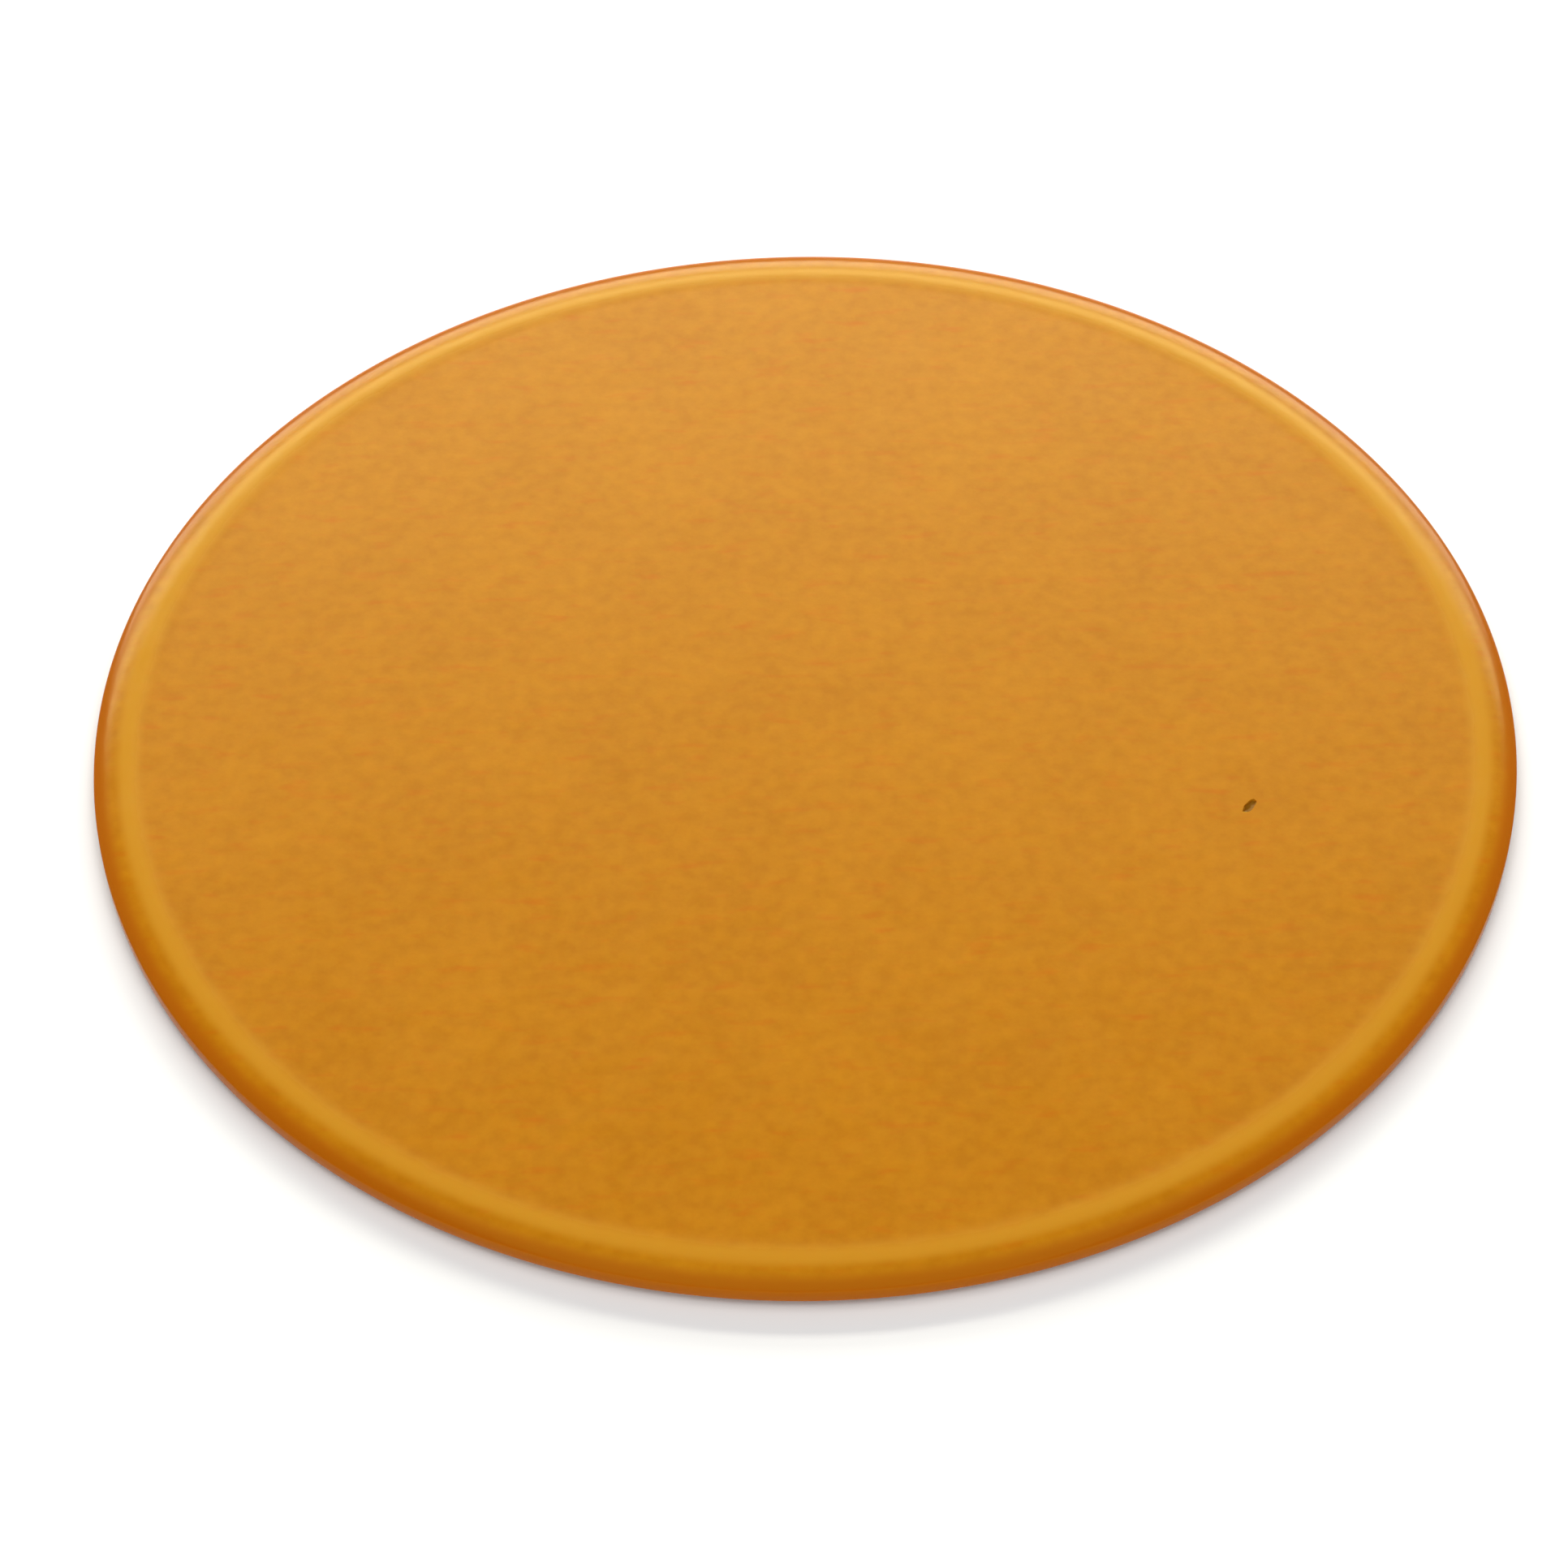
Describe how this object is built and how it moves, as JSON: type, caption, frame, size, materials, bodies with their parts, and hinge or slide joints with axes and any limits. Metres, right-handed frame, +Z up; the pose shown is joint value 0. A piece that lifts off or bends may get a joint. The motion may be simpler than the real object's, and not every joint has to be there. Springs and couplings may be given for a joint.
{
  "type": "raised pavement marker",
  "caption": "Low flat round amber pavement marker: ribbed moulded shell with a raised rim, pale cast core, butyl pad and split release liner.",
  "frame": {"origin": "under the centre of the disc, on the surface it stands on, which is the liner's lower face", "axes": "+Z up out of the face, along the disc's axis; Y runs along the slit between the liner's halves"},
  "size_m": [0.1, 0.1, 0.002],
  "materials": {
    "shell_amber": "satin",
    "core_pale": "matte",
    "pad_black": "satin",
    "liner_paper": "satin"
  },
  "bodies": {
    "marker": {"marker_shell": "shell_amber", "filler_core": "core_pale", "adhesive_pad": "pad_black"},
    "liner_left": {"liner_left": "liner_paper"},
    "liner_right": {"liner_right": "liner_paper"}
  },
  "joints": [
    {"name": "liner_left_peel", "type": "slide", "parent": "marker", "child": "liner_left", "axis": [-1, 0, 0], "range_m": [0, 0.06]},
    {"name": "liner_right_peel", "type": "slide", "parent": "marker", "child": "liner_right", "axis": [1, 0, 0], "range_m": [0, 0.06]}
  ]
}
